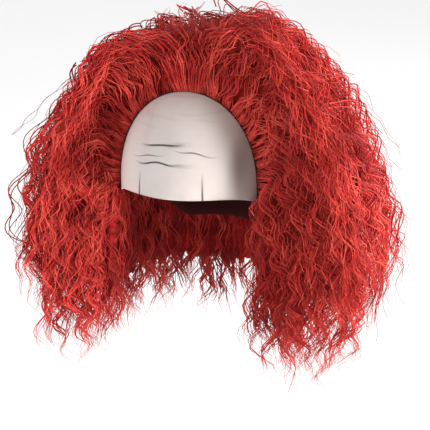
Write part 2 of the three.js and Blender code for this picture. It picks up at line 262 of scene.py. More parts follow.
def makeFibreGroup():
    # colour of hair: tone picks the dye's shade, patches and specks wander through it, and the
    # first 0.3 of the length is brighter, a painted highlight where the straight roots catch the light
    colours = {"Dark": None, "Middle": None, "Bright": None}
    group, i = newGroup("fibreColour", {"Tone": 0.5, "Along": 0.5, "Glow": 0.2, **colours})
    where = objectPlace(group)
    # painted highlight over the first 0.3 of each strand, strongest at the root
    near = times(group, minus(group, 0.3, i["Along"], True), 3.0)
    shade = plus(group, i["Tone"], ramp(group, noise(group, where, 34.0, 3.0), 0.5, 1.7))
    shade = plus(group, shade, ramp(group, noise(group, where, 260.0, 2.0), 0.5, 0.5))
    shade = plus(group, shade, times(group, near, i["Glow"]), True)
    colour = mixColour(group, times(group, shade, 2.0, True), i["Dark"], i["Middle"])
    colour = mixColour(group, ramp(group, shade, 0.5, 2.0, True), colour, i["Bright"])
    return withOutputs(group, Color=colour)


def strandMap(tree):
    # the piece's own map, and its two sides
    uv = linked(tree, "ShaderNodeUVMap", uv_map="strandMap").outputs[0]
    sides = linked(tree, "ShaderNodeSeparateXYZ", {0: uv}).outputs
    return uv, sides[0], sides[1]


def dyeAndRootHighlight(tree, group, values, tone, along):
    colours = {name.capitalize(): values[name] for name in ("dark", "middle", "bright")}
    return placed(tree, group, Tone=tone, Along=along, Glow=values["rootGlow"], **colours)["Color"]


hairFinish = {
    "dark": (0.23, 0.008, 0.007, 1),
    "middle": (0.46, 0.017, 0.014, 1),
    "bright": (0.72, 0.078, 0.056, 1),
    # painted highlight on the roots of the strands
    "rootGlow": 0.40,
    "roughness": 0.50,
    "specular": 0.20,
    "sheen": 0.05,
    "sheenTint": (1, 0.3, 0.25, 1),
}


def hairMaterial(values, group):
    # u holds the tone of each strand, v the share from its root to its tip
    material, tree, shader = newMaterial("crimpedHair")
    uv, tone, along = strandMap(tree)
    plugged(tree, shader, {
        "Base Color": dyeAndRootHighlight(tree, group, values, tone, along),
        "Roughness": values["roughness"],
        "Specular IOR Level": values["specular"],
        "Sheen Weight": values["sheen"],
        "Sheen Tint": values["sheenTint"],
    })
    return material


# colours a little darker than the strands': painted shade of the hair's depths
underhairShadedFinish = {
    "dark": (0.15, 0.005, 0.004, 1),
    "middle": (0.40, 0.014, 0.012, 1),
    "bright": (0.62, 0.045, 0.034, 1),
    "rootGlow": 0.0,
    "strandsAcross": 900.0,
    "strandsAlong": 7.0,
    "bump": 0.9,
    "bumpDepth": 0.002,
    "roughness": 0.6,
    "specular": 0.12,
}


def underhairMaterial(values, group):
    # streaks along the hair: noise on the piece's own map, stretched along its length
    material, tree, shader = newMaterial("underhair")
    uv, around, along = strandMap(tree)
    shift = ramp(tree, noise(tree, uv, 14.0, 2.0), 0.5, 0.03)
    across = times(tree, plus(tree, around, shift), values["strandsAcross"])
    down = times(tree, along, values["strandsAlong"])
    place = linked(tree, "ShaderNodeCombineXYZ", {0: across, 1: down}).outputs[0]
    streak = noise(tree, place, 1.0, 4.0)
    plugged(tree, shader, {
        "Base Color": dyeAndRootHighlight(tree, group, values, ramp(tree, streak, 0.3, 1.6, True), along),
        "Normal": bumped(tree, streak, values["bump"], values["bumpDepth"]),
        "Roughness": values["roughness"],
        "Specular IOR Level": values["specular"],
    })
    return material


def makeGrainGroup():
    # fine relief of a surface: height from two sizes of noise, and a mask of wider blotches
    group, i = newGroup("surfaceGrain", {"Fine": 900.0, "Wide": 60.0})
    where = objectPlace(group)
    fine, wide = noise(group, where, i["Fine"], 3.0), noise(group, where, i["Wide"], 4.0)
    return withOutputs(group, Height=plus(group, fine, times(group, wide, 2.0)), Blotch=wide)


def makeCreaseGroup():
    # a painted line in front view: 1 on a centre line that slopes and swings, fading to its
    # ends and sides. Lengths are in metres on the piece's own x and z
    group, i = newGroup("paintedLine", {
        "Along": 0.0, "Across": 0.0, "Start": -0.02, "End": 0.02, "Height": 0.05,
        "Slope": 0.0, "Swing": 0.0, "Width": 0.001, "Fade": 0.01,
    })
    past = minus(group, i["Along"], i["Start"])
    share = math2(group, "DIVIDE", past, minus(group, i["End"], i["Start"]))
    wave = math2(group, "SINE", times(group, share, 3 * math.pi))
    line = plus(group, i["Height"], times(group, wave, i["Swing"]))
    line = plus(group, line, ramp(group, share, 0.5, i["Slope"]))
    away = math2(group, "ABSOLUTE", minus(group, i["Across"], line))
    side = minus(group, 1.0, math2(group, "DIVIDE", away, i["Width"]), True)
    first = math2(group, "DIVIDE", past, i["Fade"], True)
    last = math2(group, "DIVIDE", minus(group, i["End"], i["Along"]), i["Fade"], True)
    mask = times(group, times(group, side, 1.8, True), times(group, first, last))
    return withOutputs(group, Mask=mask)


# shape of the head that the wig is worn on
headForm = {  # metres, inside of the cap
    "halfWidth": 0.0765,
    "halfLength": 0.0965,
    "height": 0.100,
    "depth": 0.115,
    "fullness": 2.15,
    "hairlineY": -0.040,
    "templeDrop": 0.013,
    "earHeight": -0.022,
    "earY": 0.022,
    "napeHeight": -0.070,
    "napeY": 0.066,
    "panelWall": 0.0016,
    "capWall": 0.0012,
    "tapeWidth": 0.007,
    "tapeWall": 0.0012,
    "clearance": 0.0003,
}


def headSide(points, wall):
    # under 1 inside the head: the powered share of the plan radius plus that of the height
    h = headForm
    x, y = points[..., 0] / (h["halfWidth"] + wall), points[..., 1] / (h["halfLength"] + wall)
    flat = np.hypot(x, y)
    tall = np.where(points[..., 2] > 0, h["height"], h["depth"]) + wall
    return flat ** h["fullness"] + np.abs(points[..., 2] / tall) ** h["fullness"]


def halved(holds, low, high, steps):
    # the value between low and high where a test stops holding, found by halving
    for step in range(steps):
        middle = (low + high) / 2
        held = holds(middle)
        low, high = np.where(held, middle, low), np.where(held, high, middle)
    return low


def headPoint(azimuth, tilt, wall, fromY):
    # where a ray from (0, fromY, 0), tilted from upright towards an azimuth, leaves the head
    a, t = np.radians(azimuth), np.radians(tilt)
    ray = np.broadcast_arrays(np.sin(a) * np.sin(t), -np.cos(a) * np.sin(t), np.cos(t))
    ray = np.stack(ray, axis=-1)
    start = np.array([0, fromY, 0])
    near = np.zeros(ray.shape[:-1])
    far = near + 0.25  # past the head on every side
    far = halved(lambda d: headSide(start + ray * d[..., None], wall) < 1, near, far, 34)
    return start + ray * far[..., None], ray


def rimHeight(y):
    # lower edge of the cap at a depth y: three parabolas over the brow, the ear and the nape
    h = headForm
    brow = np.clip((y + h["halfLength"]) / (h["hairlineY"] + h["halfLength"]), 0, 1)
    ear = np.clip((y - h["hairlineY"]) / (h["earY"] - h["hairlineY"]), 0, 1)
    nape = np.clip((y - h["earY"]) / (h["napeY"] - h["earY"]), 0, 1)
    front = -h["templeDrop"] * brow**2
    side = -h["templeDrop"] * (1 - ear) ** 2 + h["earHeight"] * (1 - (1 - ear) ** 2)
    back = h["earHeight"] * (1 - nape**2) + h["napeHeight"] * nape**2
    return np.where(y < h["hairlineY"], front, np.where(y < h["earY"], side, back))


def toRim(above, shape):
    # tilt in degrees at which the head goes below its lower edge, between level and steep
    return halved(above, np.full(shape, 60.0), np.full(shape, 150.0), 30)


def rimTilt(azimuth, wall, fromY):
    def above(tilt):
        point, ray = headPoint(azimuth, tilt, wall, fromY)
        return point[..., 2] > rimHeight(point[..., 1])

    return toRim(above, np.shape(azimuth))


def headPatch(name, azimuths, rows, wall, fromY):
    # a closed wall over the head: azimuth round, and tilt from the top to the lower edge
    share = np.linspace(0, 1, rows)[None, :]
    tilt = rimTilt(azimuths, wall, fromY)[:, None] * share
    outer, ray = headPoint(azimuths[:, None], tilt, wall, fromY)
    inner, ray = headPoint(azimuths[:, None], tilt, 0.0, fromY)
    return welded(meshFrom(name, *shellFaces(outer, inner)))


# bald forehead panel with its painted creases
panel = {
    "columns": 91,
    "rows": 45,
    "skin": (0.50, 0.447, 0.424, 1),
    # painted light: paler skin for the panel's dim side and top
    "paintedLightSkin": (0.71, 0.645, 0.605, 1),
    # mottled skin tone, also used as painted shade towards the wearer's left
    "shade": (0.38, 0.325, 0.295, 1),
    "paint": (0.045, 0.038, 0.036, 1),
    # colour of the temple marks, partly the panel's own paint and partly painted shade
    "airbrushAndShade": (0.085, 0.045, 0.040, 1),
    "roughness": 0.5,
    "softness": (0.12, 0.004),  # light under the skin: its share and its depth
    # along x: start, end, height z, slope, swing, width, fade, strength
    "creases": (
        (-0.036, 0.012, 0.0499, 0.005, -0.0004, 0.0012, 0.014, 1.0),
        # wide and faint: a painted shadow beside the first crease
        (-0.012, 0.020, 0.0515, 0.003, 0.0, 0.0034, 0.016, 0.28),
        (-0.047, -0.004, 0.0386, 0.008, -0.0007, 0.0008, 0.018, 0.75),
        (-0.001, 0.043, 0.0440, -0.008, -0.0010, 0.0009, 0.018, 0.8),
        (-0.042, 0.011, 0.0330, 0.004, -0.0014, 0.0012, 0.016, 1.0),
        (-0.008, 0.024, 0.0330, 0.000, 0.0, 0.0024, 0.016, 0.3),
    ),
    # along z: start, end, place x, slope, swing, width, fade, strength
    "uprights": (
        (-0.030, 0.026, -0.0347, 0.0018, 0.0, 0.0011, 0.020, 0.95),
        (-0.030, 0.028, 0.0305, -0.0018, 0.0, 0.0011, 0.022, 0.95),
    ),
    # temple marks, partly the panel's own paint and partly painted shade
    "airbrushAndShadeSpots": ((0.0570, 0.62), (-0.0640, 0.03)),  # place x, strength
    "airbrushAndShadeHeight": 0.027,
    "airbrushAndShadeSharpness": (118.0, 34.0),  # across and up
    # slant of the wrinkles in radians, stretch of their noise on x, y and z, and strength
    "wrinkles": (0.5, (16.0, 40.0, 260.0), 0.11),
    "creaseDepth": 0.5,
}


def panelMaterial(values, grain, line):
    material, tree, shader = newMaterial("paintedPanel")
    where = objectPlace(tree)
    axis = linked(tree, "ShaderNodeSeparateXYZ", {0: where}).outputs
    x, z = axis[0], axis[2]
    relief = placed(tree, grain, Fine=700.0, Wide=38.0)
    blotch = ramp(tree, relief["Blotch"], 0.45, 1.2, True)
    colour = mixColour(tree, blotch, values["skin"], values["shade"])
    # painted light and shade: paler on the wearer's right and a little at the top, where the hair and
    # lamps leave the panel dim, and darker towards the wearer's left against the side lamp's bright
    # patch
    right = ramp(tree, x, -0.030, -36.0, True)
    top = ramp(tree, z, 0.048, 26.0, True)
    left = ramp(tree, x, 0.0, 22.0, True)
    for mask, strength, tint in ((right, 1.0, "paintedLightSkin"), (top, 0.25, "paintedLightSkin"), (left, 0.62, "shade")):
        colour = mixColour(tree, times(tree, mask, strength), colour, values[tint])
    # faint slanting wrinkles across the top: noise stretched along its own slant
    slant, stretch, strength = values["wrinkles"]
    turned = {"Vector": where, "Rotation": (0.0, slant, 0.0), "Scale": stretch}
    fold = noise(tree, linked(tree, "ShaderNodeMapping", turned).outputs[0], 1.0, 2.0)
    wrinkle = times(tree, ramp(tree, fold, 0.55, 8.0, True), plus(tree, top, 0.15))
    colour = mixColour(tree, times(tree, wrinkle, strength), colour, values["airbrushAndShade"])
    # soft marks at the temples, partly the panel's own brown-grey paint and partly painted shade:
    # strength * e ** -(dx * dx + dz * dz)
    sharpX, sharpZ = values["airbrushAndShadeSharpness"]
    dz = ramp(tree, z, values["airbrushAndShadeHeight"], sharpZ)
    for side, strength in values["airbrushAndShadeSpots"]:
        dx = ramp(tree, x, side, sharpX)
        far = plus(tree, times(tree, dx, dx), times(tree, dz, dz))
        mask = times(tree, math2(tree, "POWER", math.e, times(tree, far, -1.0)), strength)
        colour = mixColour(tree, mask, colour, values["airbrushAndShade"])
    height = times(tree, relief["Height"], 0.25)
    labels = ("Start", "End", "Height", "Slope", "Swing", "Width", "Fade")
    for rows, along, across in ((values["creases"], x, z), (values["uprights"], z, x)):
        for *form, strength in rows:
            mark = placed(tree, line, Along=along, Across=across, **dict(zip(labels, form)))
            mask = times(tree, mark["Mask"], strength)
            colour = mixColour(tree, mask, colour, values["paint"])
            if along is x:
                height = minus(tree, height, times(tree, mask, values["creaseDepth"]))
    softness, depth = values["softness"]
    plugged(tree, shader, {
        "Base Color": colour,
        "Normal": bumped(tree, height, 0.35, 0.001),
        "Roughness": values["roughness"],
        "Subsurface Weight": softness,
        "Subsurface Scale": depth,
    })
    return material


# net cap, and the tape along the hairline
cap = {
    "columns": 61,
    "rows": 31,
    "thread": (0.060, 0.008, 0.007, 1),
    "gap": (0.014, 0.003, 0.003, 1),
    "threads": 520.0,  # a metre
}

tape = {
    "steps": 120,
    "columns": 7,
    "thread": (0.110, 0.010, 0.009, 1),
    "gap": cap["gap"],
    "threads": 1400.0,
    "edge": 0.55,  # thickness of its edges, as a share of the middle's
}


def wovenMaterial(name, values, grain):
    # two sets of crossed threads: the larger of two sine waves on slants across x + y and z
    material, tree, shader = newMaterial(name)
    axis = linked(tree, "ShaderNodeSeparateXYZ", {0: objectPlace(tree)}).outputs
    diagonal = plus(tree, axis[0], axis[1])
    turn = 2 * math.pi * values["threads"]
    slants = (slant(tree, diagonal, axis[2]) for slant in (plus, minus))
    one, other = (math2(tree, "SINE", times(tree, slant, turn)) for slant in slants)
    weave = math2(tree, "MAXIMUM", one, other)
    shade = ramp(tree, weave, -0.6, 0.7, True)
    relief = placed(tree, grain, Fine=1500.0, Wide=120.0)
    height = plus(tree, weave, times(tree, relief["Height"], 0.5))
    plugged(tree, shader, {
        "Base Color": mixColour(tree, shade, values["gap"], values["thread"]),
        "Normal": bumped(tree, height, 0.5, 0.0006),
        "Roughness": 0.85,
        "Specular IOR Level": 0.2,
    })
    return material


def makeTape(values):
    # slices of the head at fixed y, swept over the top from rim to rim, between two walls. The
    # outer wall is rounded across the tape
    h = headForm
    low = h["panelWall"] + h["clearance"]
    side = np.linspace(-1, 1, values["columns"])
    y = h["hairlineY"] + side * h["tapeWidth"] / 2
    thick = h["tapeWall"] * (values["edge"] + (1 - values["edge"]) * np.sqrt(1 - side**2))
    share = np.linspace(-1, 1, values["steps"] + 1)[:, None]
    walls = []
    for wall in (low + thick, np.full(len(y), low)):
        rim = toRim(lambda turn: slicePoint(turn, y, wall)[..., 2] > rimHeight(y), len(y))
        walls.append(slicePoint(share * rim, y, wall))
    return welded(meshFrom("hairlineTapeStrip", *shellFaces(*walls)))


def slicePoint(tilt, y, wall):
    # the head's surface in the plane at y, at a tilt from upright
    tilt, y, wall = np.broadcast_arrays(np.radians(tilt), y, wall)

    def at(far):
        return np.stack([np.sin(tilt) * far, y, np.cos(tilt) * far], axis=-1)

    near = np.zeros(tilt.shape)
    return at(halved(lambda far: headSide(at(far), wall) < 1, near, near + 0.2, 34))


# hair: where each strand starts, lies and ends
hairForm = {  # metres, degrees and shares, as in the solids
    "top": 0.176,
    "drop": 0.222,
    "reach": 0.207,
    "rootLift": 0.050,
    "whorlY": -0.0362,
    "firstAzimuth": 89.0,
    "lastAzimuth": 271.0,
    "frontLean": 8.0,
    "frontBow": 0.020,
    "leanStart": 125.0,
    "crownTilt": 5.0,
    "templeTilt": 96.0,
    "napeTilt": 116.0,
    "archRise": 0.6,
    "archLimit": 0.95,
    "azimuths": (89, 112, 140, 180, 220, 248, 271),
    "reaches": (0.88, 1.02, 1.0, 0.97, 0.94, 0.92, 0.88),
    "rises": (1.0, 0.98, 0.94, 0.89, 0.87, 0.86, 0.88),
    "drops": (0.88, 1.0, 0.96, 0.93, 0.9, 0.88, 0.88),
    "shoulders": (0.06, 0.06, 0.02, 0.0, 0.05, 0.09, 0.09),  # of the radius, off the upper part
    "fullness": (1.09, 1.07, 1.0, 0.97, 0.90, 0.78, 0.75),  # of the locks' depth, by azimuth
    "heights": (-1.0, -0.66, -0.36, 0.0, 0.42, 0.74, 0.9, 1.0),
    "radii": (0.86, 0.97, 1.03, 0.96, 0.84, 0.66, 0.48, 0.3),
    "roots": (0.0, 0.3, 0.6, 0.85, 1.0),
    "layers": (0.95, 0.84, 0.56, 0.28, 0.06),
    "lifts": (1.0, 0.88, 0.72, 0.52, 0.28),
    "ends": (0.5, 0.64, 0.85, 0.92, 0.74),
}

# hair section: the slots it takes, sixteen in all
slots = {
    "hair_left_front": (0, 3),
    "hair_left_side": (3, 6),
    "hair_left_back": (6, 8),
    "hair_right_back": (8, 10),
    "hair_right_side": (10, 13),
    "hair_right_front": (13, 16),
}


def heading(azimuth):
    a = np.radians(azimuth)
    return np.stack([np.sin(a), -np.cos(a), np.zeros_like(a)], axis=-1)


def aside(azimuth):
    # level direction square to a heading
    away = heading(azimuth)
    return np.stack([-away[:, 1], away[:, 0], np.zeros(len(away))], axis=-1)


def unit(vectors):
    return vectors / np.maximum(np.linalg.norm(vectors, axis=-1, keepdims=True), 1e-9)


def byAzimuth(azimuth, key):
    return np.interp(azimuth, hairForm["azimuths"], hairForm[key])


def layerRadius(azimuth, layer, z):
    # distance from the whorl's line at a height: the layer's share of the way from head to outline
    f = hairForm
    reach = f["reach"] * byAzimuth(azimuth, "reaches")
    top, drop = f["top"] * byAzimuth(azimuth, "rises"), f["drop"] * byAzimuth(azimuth, "drops")
    height = np.where(z > 0, z / top, z / drop)
    slope = byAzimuth(azimuth, "shoulders") * smoothStep(height, 0.15, 0.6)
    outer = reach * np.interp(height, f["heights"], f["radii"]) * (1 - slope)
    tilt = np.where(z > 0, np.degrees(np.arctan2(reach / 3, z)), 90.0)
    head, ray = headPoint(azimuth, tilt, headForm["capWall"], f["whorlY"])
    inner = np.minimum(np.hypot(head[..., 0], head[..., 1] - f["whorlY"]), outer)
    return inner + (outer - inner) * layer


def strandGuide(azimuth, root, depth, reachOn, rise=0.0, flare=0.0):
    # guide points of strands: the root, a straight lift, and six points of the fall.
    # depth scales the layer, reachOn how far down the strand goes, and flare moves the fall
    # towards the outermost layer as it goes down
    f = hairForm
    rim = f["napeTilt"] + (f["templeTilt"] - f["napeTilt"]) * np.abs(azimuth - 180) / 90
    tilt = f["crownTilt"] + (rim - f["crownTilt"]) * root
    wall = headForm["capWall"] + headForm["clearance"] + rise
    foot, ray = headPoint(azimuth, tilt, wall, f["whorlY"])
    lift, layer, end = (np.interp(root, f["roots"], f[key]) for key in ("lifts", "layers", "ends"))
    lift, layer, end = f["rootLift"] * lift * depth, layer * depth, end * reachOn
    top = f["top"] * byAzimuth(azimuth, "rises") * (0.6 + 0.4 * depth)
    drop = f["drop"] * byAzimuth(azimuth, "drops")
    lifted = foot + ray * lift[:, None]
    highest = np.minimum(lifted[:, 2] + lift * f["archRise"] * ray[:, 2], top * f["archLimit"])
    share = np.linspace(0, 1, 6)[None, :]
    z = highest[:, None] + (-drop * end - highest)[:, None] * share
    wide = np.broadcast_to(azimuth[:, None], z.shape)
    moved = np.clip(1 - (1 - share) ** 2, 0, 1) * np.reshape(flare, (-1, 1))
    outermost = 0.95 * byAzimuth(wide, "fullness")
    radius = layerRadius(wide, layer[:, None] + (outermost - layer[:, None]) * moved, z)
    fall = heading(wide) * radius[..., None]
    fall[..., 1] += f["whorlY"]
    fall[..., 2] = z
    return np.concatenate([foot[:, None], lifted[:, None], fall], axis=1)


def smoothPath(guide, perSpan=10):
    # centripetal Catmull-Rom through the guide points, as many points for each span
    before = 2 * guide[:, :1] - guide[:, 1:2]
    after = 2 * guide[:, -1:] - guide[:, -2:-1]
    p = np.concatenate([before, guide, after], axis=1)
    gap = np.maximum(np.linalg.norm(np.diff(p, axis=1), axis=-1), 1e-6) ** 0.5
    t = np.linspace(0, 1, perSpan, endpoint=False)[None, None, :, None]
    p0, p1, p2, p3 = (p[:, k : k + guide.shape[1] - 1, None, :] for k in range(4))
    d0, d1, d2 = (gap[:, k : k + guide.shape[1] - 1, None, None] for k in range(3))
    m1 = ((p1 - p0) / d0 - (p2 - p0) / (d0 + d1) + (p2 - p1) / d1) * d1
    m2 = ((p2 - p1) / d1 - (p3 - p1) / (d1 + d2) + (p3 - p2) / d2) * d1
    square, cube = 3 * (p2 - p1) - 2 * m1 - m2, 2 * (p1 - p2) + m1 + m2
    curve = (p1 + m1 * t + square * t**2 + cube * t**3).reshape(len(guide), -1, 3)
    return np.concatenate([curve, guide[:, -1:]], axis=1)


def alongPath(curve, share):
    # points at shares of each path's length, past the end in a straight line
    step = np.linalg.norm(np.diff(curve, axis=1), axis=-1)
    total = step.sum(axis=1, keepdims=True)
    run = np.concatenate([np.zeros((len(curve), 1)), np.cumsum(step, axis=1)], axis=1) / total
    lane = 3.0 * np.arange(len(curve))[:, None]  # keeps the paths apart in one interpolation
    asked = (np.clip(share, 0, 1) + lane).ravel()
    flat = (run + lane).ravel()
    points = np.stack([np.interp(asked, flat, curve[..., k].ravel()) for k in range(3)], axis=-1)
    points = points.reshape(share.shape + (3,))
    last = unit(curve[:, -1] - curve[:, -2])
    past = np.maximum(share - 1, 0) * total
    return points + last[:, None, :] * past[..., None], total[:, 0]


def broughtForward(points, azimuth, share, bow):
    # beside the face: turned forward round the whorl's line, most at the tips, and bowed
    # forward from the hairline by bow * (1 - (1 - share) ** 3)
    f = hairForm
    start = 180 - f["leanStart"]
    face = np.clip((np.abs(azimuth - 180) - start) / (180 - f["firstAzimuth"] - start), 0, 1) ** 2
    turn = np.sign(azimuth - 180) * f["frontLean"] * face
    turn = np.radians(turn[:, None] * np.clip(share * (2 - share), 0, 1))
    x, y = points[..., 0], points[..., 1] - f["whorlY"]
    ahead = np.reshape(bow * face, (-1, 1)) * (1 - np.clip(1 - share, 0, 1) ** 3)
    forward = x * np.sin(turn) + y * np.cos(turn) + f["whorlY"] - ahead
    return np.stack([x * np.cos(turn) - y * np.sin(turn), forward, points[..., 2]], axis=-1)


def smoothStep(value, low, high):
    t = np.clip((value - low) / (high - low), 0, 1)
    return t * t * (3 - 2 * t)


lockCommon = dict(  # for every group that doesn't say otherwise
    strands=6, inward=0, flare=0, tight=0.35, follow=1.0, waves=(1.0, 0.5), atTape=False,
)

locks = {
    # group: how many locks, and points along them; root from 0 at the crown to 1 at the rim;
    # depth, the share of the hair's own layer; start of the made stretch; bow forward beside the
    # face; crimp length and swing; inward, degrees behind the face side, or 0 for all round;
    # flare, how far locks leave their own layer outwards; tight, the share of locks whose hairs
    # cling together; follow, how closely they follow the fullness; waves, their size sideways
    # and outwards; atTape, rooted on the tape
    "outer": dict(
        locks=90, points=66, root=(0, 0.40), depth=(0.70, 0.97), start=(0, 0),
        bow=(0.014, 0.022), crimp=(0.032, 0.050), swing=(0.0026, 0.0062),
    ),
    "fan": dict(
        locks=112, points=53, root=(0, 1), depth=(0.50, 0.97), start=(0, 0), inward=2.5, flare=0.95,
        bow=(0.004, 0.026), crimp=(0.029, 0.046), swing=(0.0026, 0.0060), waves=(0.6, 0.95),
        atTape=True,
    ),
    "beside": dict(
        locks=34, points=48, root=(0, 1), depth=(0.75, 0.98), start=(0, 0), inward=14, flare=0.4,
        bow=(0.010, 0.018), crimp=(0.029, 0.045), swing=(0.0026, 0.0054), waves=(0.6, 0.95),
    ),
    # locks that leave the mass
    "stray": dict(
        locks=84, strands=3, points=70, root=(0, 0.62), depth=(0.95, 1.10), start=(0.05, 0.40),
        flare=0.5, bow=(0.006, 0.018), crimp=(0.032, 0.052), swing=(0.0038, 0.0072), tight=1.0,
        follow=0.24, waves=(1.0, 0.8),
    ),
    "hem": dict(
        locks=92, points=24, root=(0.25, 1), depth=(0.82, 1.03), start=(0.48, 0.60), flare=0.6,
        bow=(0.008, 0.022), crimp=(0.030, 0.046), swing=(0.0028, 0.0064), tight=0.6,
    ),
    # over the inside of the hair, below the cap
    "inner": dict(
        locks=62, points=16, root=(0.86, 1), depth=(0.9, 1.5), start=(0.05, 0.3),
        bow=(0.006, 0.014), crimp=(0.024, 0.034), swing=(0.002, 0.004), tight=0.4,
    ),
    "lining": dict(
        locks=56, points=17, root=(1, 1), depth=(0.1, 0.62), start=(0, 0.25),
        bow=(0.006, 0.014), crimp=(0.026, 0.040), swing=(0.0014, 0.0032), tight=0.3,
    ),
    "cheek": dict(
        locks=18, points=20, root=(0.84, 1), depth=(0.3, 1.1), start=(0, 0.2), inward=6,
        bow=(0.010, 0.020), crimp=(0.028, 0.042), swing=(0.002, 0.0045), tight=0.3, waves=(0.6, 0.95),
    ),
}

strandForm = {
    "rootForward": 0.0062,  # the fan starts at the front edge of the tape
    "rootRise": -0.0010,
    "rootScatter": 0.012,
    "straight": (0.002, 0.009),  # of the start of a lock
    "crimped": (0.016, 0.038),
    "splay": 0.30,  # slope at which locks cross each other near their roots
    "splayRun": 0.034,
    "rootRun": 0.020,
    "rootPoints": 0.06,  # share of the points on that first stretch
    "reachOn": (0.92, 1.11),
    "wander": 0.012,
    "lockWander": (0.10, 0.22),  # lengths of its waves
    "strandWander": (0.07, 0.18),
    "lag": 0.5,  # how far the outward half of a crimp lags behind the sideways half
    # half widths of a tight lock, a loose lock, and a strand in each
    "tightLock": (0.0009, 0.0022),
    "looseLock": (0.0030, 0.0076),
    "tightStrand": (0.00052, 0.00088),
    "looseStrand": (0.00026, 0.00050),
    "gather": 0.66,  # how much of its width a lock loses towards its tip
    "gatherAt": (0.38, 0.86),
    "tipTaper": 0.82,
    "tone": (0.18, 0.74),
    "seed": 41,
}


def drawers(random, count, perLock):
    # draws for whole locks and for single strands, each as a column with a row for a strand
    def forLocks(low, high):
        return np.repeat(random.uniform(low, high, count), perLock)[:, None]

    def forStrands(low, high):
        return random.uniform(low, high, (count * perLock, 1))

    return forLocks, forStrands


def asLot(path, half, tone, share, azimuth, side):
    # what tubes need, with a value for each point of each strand
    perPoint = {"half": half, "tone": tone, "share": share}
    lot = {key: np.broadcast_to(value, path.shape[:2]) for key, value in perPoint.items()}
    return {**lot, "path": path, "azimuth": azimuth, "side": np.broadcast_to(side, path.shape)}


def pickLocks(group, random):
    # where the locks of a group are rooted, how deep they lie and which stretch of them is made
    count = group["locks"]
    number = np.arange(count)
    first, last = hairForm["firstAzimuth"], hairForm["lastAzimuth"]
    rootLow, rootHigh = group["root"]
    if group["inward"]:
        half = count // 2
        turned = random.uniform(0, 1, count) ** 1.3 * group["inward"]
        azimuth = np.where(number < half, first + turned, last - turned)
        root = (number % half + random.uniform(0, 1, count)) / half
    else:
        azimuth = first + (last - first) * (number + random.uniform(0, 1, count)) / count
        root = random.uniform(0, 1, count) ** 1.3
    root = rootLow + (rootHigh - rootLow) * root
    low, high = group["depth"]
    depth = low + (high - low) * random.uniform(0, 1, count) ** 0.8
    depth = depth * byAzimuth(azimuth, "fullness") ** group["follow"]
    if group["inward"]:  # the crown's locks beside the face reach the outline
        depth += (0.94 - depth) * 0.6 * smoothStep(0.35 - root, 0, 0.35)
    return {
        "azimuth": azimuth,
        "root": root,
        "depth": depth,
        "reachOn": random.uniform(*strandForm["reachOn"], count),
        "start": random.uniform(*group["start"], count),
        "bow": random.uniform(*group["bow"], count),
        "tight": random.uniform(0, 1, count) < group["tight"],
        "fill": random.uniform(0, 1, count),
        "flare": random.uniform(0, 1, count) ** 1.2 * group["flare"],
    }


def pointShares(start, end, whole, steps, fromRoot):
    # shares of the strands' lengths at their points. Where they start at the root, few points
    # go to the straight first stretch, and the others are spread evenly
    even = np.linspace(0, 1, steps)
    if not fromRoot:
        return start + (end - start) * even
    bare = np.maximum(strandForm["rootRun"] / whole, start)
    stage = np.interp(even, (0, strandForm["rootPoints"], 1), (0, 1, 2))
    return start + (bare - start) * np.minimum(stage, 1) + (end - bare) * np.maximum(stage - 1, 0)


